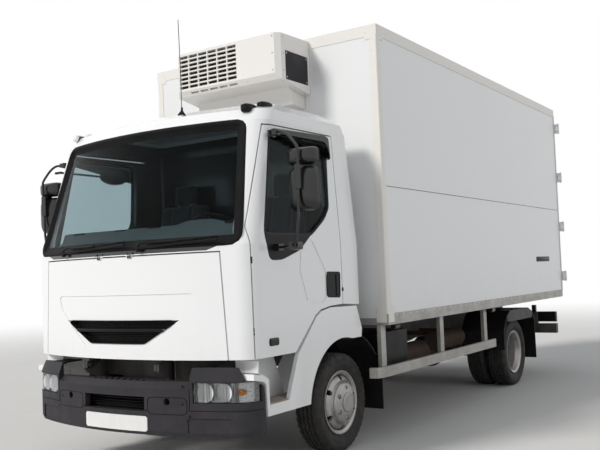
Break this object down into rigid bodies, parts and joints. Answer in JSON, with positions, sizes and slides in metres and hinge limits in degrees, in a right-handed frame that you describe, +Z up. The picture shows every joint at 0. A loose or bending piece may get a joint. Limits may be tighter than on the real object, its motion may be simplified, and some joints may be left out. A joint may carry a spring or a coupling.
{
  "type": "refrigerated box truck",
  "caption": "Light two-axle cab-over truck with an insulated box body, a nose-mounted cooling unit, a tilting cab, opening doors and steered front wheels",
  "frame": {"origin": "on the ground, under the middle of the truck's outer box", "axes": "+X is the truck's left side, the truck drives towards -Y, +Z is up"},
  "size_m": [2.87, 6.8598, 3.3869],
  "materials": {
    "cab_paint": "gloss white paint",
    "box_panel": "smooth white laminate panel",
    "box_post": "cream white profile",
    "rail_aluminium": "dull aluminium profile",
    "steel_frame": "black chassis paint, dusty",
    "stainless": "brushed steel",
    "charcoal_plastic": "grained charcoal plastic",
    "black_plastic": "grained black plastic",
    "rubber": "tyre rubber",
    "wheel_silver": "silver paint",
    "window_glass": "tinted glass",
    "lamp_lens": "clear lens",
    "unit_paint": "white unit housing",
    "engine_iron": "cast iron",
    "interior_plastic": "grey grained plastic",
    "seat_fabric": "woven seat cloth",
    "tank_metal": "dull aluminium",
    "air_tank_paint": "brown tank paint",
    "floor_grip": "grey anti-slip floor"
  },
  "bodies": {
    "chassis": {"frame_rails": "steel_frame", "box_bearers": "steel_frame", "front_axle": "steel_frame", "rear_axle": "steel_frame", "leaf_springs": "steel_frame", "engine": "engine_iron", "driveline": "engine_iron", "exhaust": "stainless", "fuel_tank": "tank_metal", "battery_box": "black_plastic", "air_tanks": "air_tank_paint", "bumper": "charcoal_plastic", "headlamps": "lamp_lens", "side_guards": "rail_aluminium", "mudguards": "black_plastic", "underrun_bar": "steel_frame", "box_floor": "floor_grip", "box_front": "box_panel", "box_left": "box_panel", "box_right": "box_panel", "box_roof": "box_panel", "box_trim": "box_post", "box_bottom_rails": "rail_aluminium", "rear_frame": "stainless", "cooling_unit": "unit_paint", "evaporator": "unit_paint"},
    "cab": {"cab_body": "cab_paint", "cab_roof": "cab_paint", "windscreen": "window_glass", "dashboard": "interior_plastic", "seats": "seat_fabric", "steering_wheel": "black_plastic", "steps": "cab_paint", "wipers": "black_plastic"},
    "hatch": {"front_hatch": "cab_paint"},
    "rear_leaf_left": {"rear_door_left": "box_panel"},
    "rear_leaf_right": {"rear_door_right": "box_panel"},
    "track_rod": {"tie_rod": "steel_frame"},
    "cab_door_left": {"door_left": "cab_paint", "door_glass_left": "window_glass", "mirror_left": "black_plastic"},
    "steer_left": {"knuckle_left": "steel_frame"},
    "front_wheel_left": {"tyre_front_left": "rubber", "rim_front_left": "wheel_silver"},
    "rear_wheels_left": {"tyre_rear_left": "rubber", "rim_rear_left": "wheel_silver"},
    "cab_door_right": {"door_right": "cab_paint", "door_glass_right": "window_glass", "mirror_right": "black_plastic"},
    "steer_right": {"knuckle_right": "steel_frame"},
    "front_wheel_right": {"tyre_front_right": "rubber", "rim_front_right": "wheel_silver"},
    "rear_wheels_right": {"tyre_rear_right": "rubber", "rim_rear_right": "wheel_silver"}
  },
  "joints": [
    {"name": "cab_tilt", "type": "hinge", "parent": "chassis", "child": "cab", "pos_m": [0, -3.328, 0.778], "axis": [1, 0, 0], "range_deg": [0, 50]},
    {"name": "front_hatch_lift", "type": "hinge", "parent": "cab", "child": "hatch", "pos_m": [0, -3.372, 1.548], "axis": [-1, 0, 0], "range_deg": [0, 80]},
    {"name": "cab_door_left_hinge", "type": "hinge", "parent": "cab", "child": "cab_door_left", "pos_m": [1.03, -3.093, 1.245], "axis": [0, 0, -1], "range_deg": [0, 70]},
    {"name": "rear_door_left_hinge", "type": "hinge", "parent": "chassis", "child": "rear_leaf_left", "pos_m": [1.235, 3.416, 2.18], "axis": [0, 0, -1], "range_deg": [0, 270]},
    {"name": "steering_left", "type": "hinge", "parent": "chassis", "child": "steer_left", "pos_m": [0.79, -2.018, 0.376], "axis": [0, 0, 1], "range_deg": [-38, 38]},
    {"name": "front_wheel_left_spin", "type": "hinge", "parent": "steer_left", "child": "front_wheel_left", "pos_m": [0.907, -2.018, 0.376], "axis": [1, 0, 0], "continuous": true},
    {"name": "rear_wheels_left_spin", "type": "hinge", "parent": "chassis", "child": "rear_wheels_left", "pos_m": [0.862, 1.732, 0.376], "axis": [1, 0, 0], "continuous": true},
    {"name": "cab_door_right_hinge", "type": "hinge", "parent": "cab", "child": "cab_door_right", "pos_m": [-1.03, -3.093, 1.245], "axis": [0, 0, 1], "range_deg": [0, 70]},
    {"name": "rear_door_right_hinge", "type": "hinge", "parent": "chassis", "child": "rear_leaf_right", "pos_m": [-1.235, 3.416, 2.18], "axis": [0, 0, 1], "range_deg": [0, 270]},
    {"name": "steering_right", "type": "hinge", "parent": "chassis", "child": "steer_right", "pos_m": [-0.79, -2.018, 0.376], "axis": [0, 0, 1], "range_deg": [-38, 38]},
    {"name": "front_wheel_right_spin", "type": "hinge", "parent": "steer_right", "child": "front_wheel_right", "pos_m": [-0.907, -2.018, 0.376], "axis": [1, 0, 0], "continuous": true},
    {"name": "rear_wheels_right_spin", "type": "hinge", "parent": "chassis", "child": "rear_wheels_right", "pos_m": [-0.862, 1.732, 0.376], "axis": [1, 0, 0], "continuous": true},
    {"name": "track_rod_swing", "type": "hinge", "parent": "steer_left", "child": "track_rod", "pos_m": [0.79, -1.828, 0.269], "axis": [0, 0, 1], "range_deg": [-38, 38]}
  ],
  "couplings": [
    {"joint": "steering_right", "follows": "steering_left", "ratio": 1},
    {"joint": "track_rod_swing", "follows": "steering_left", "ratio": -1}
  ]
}
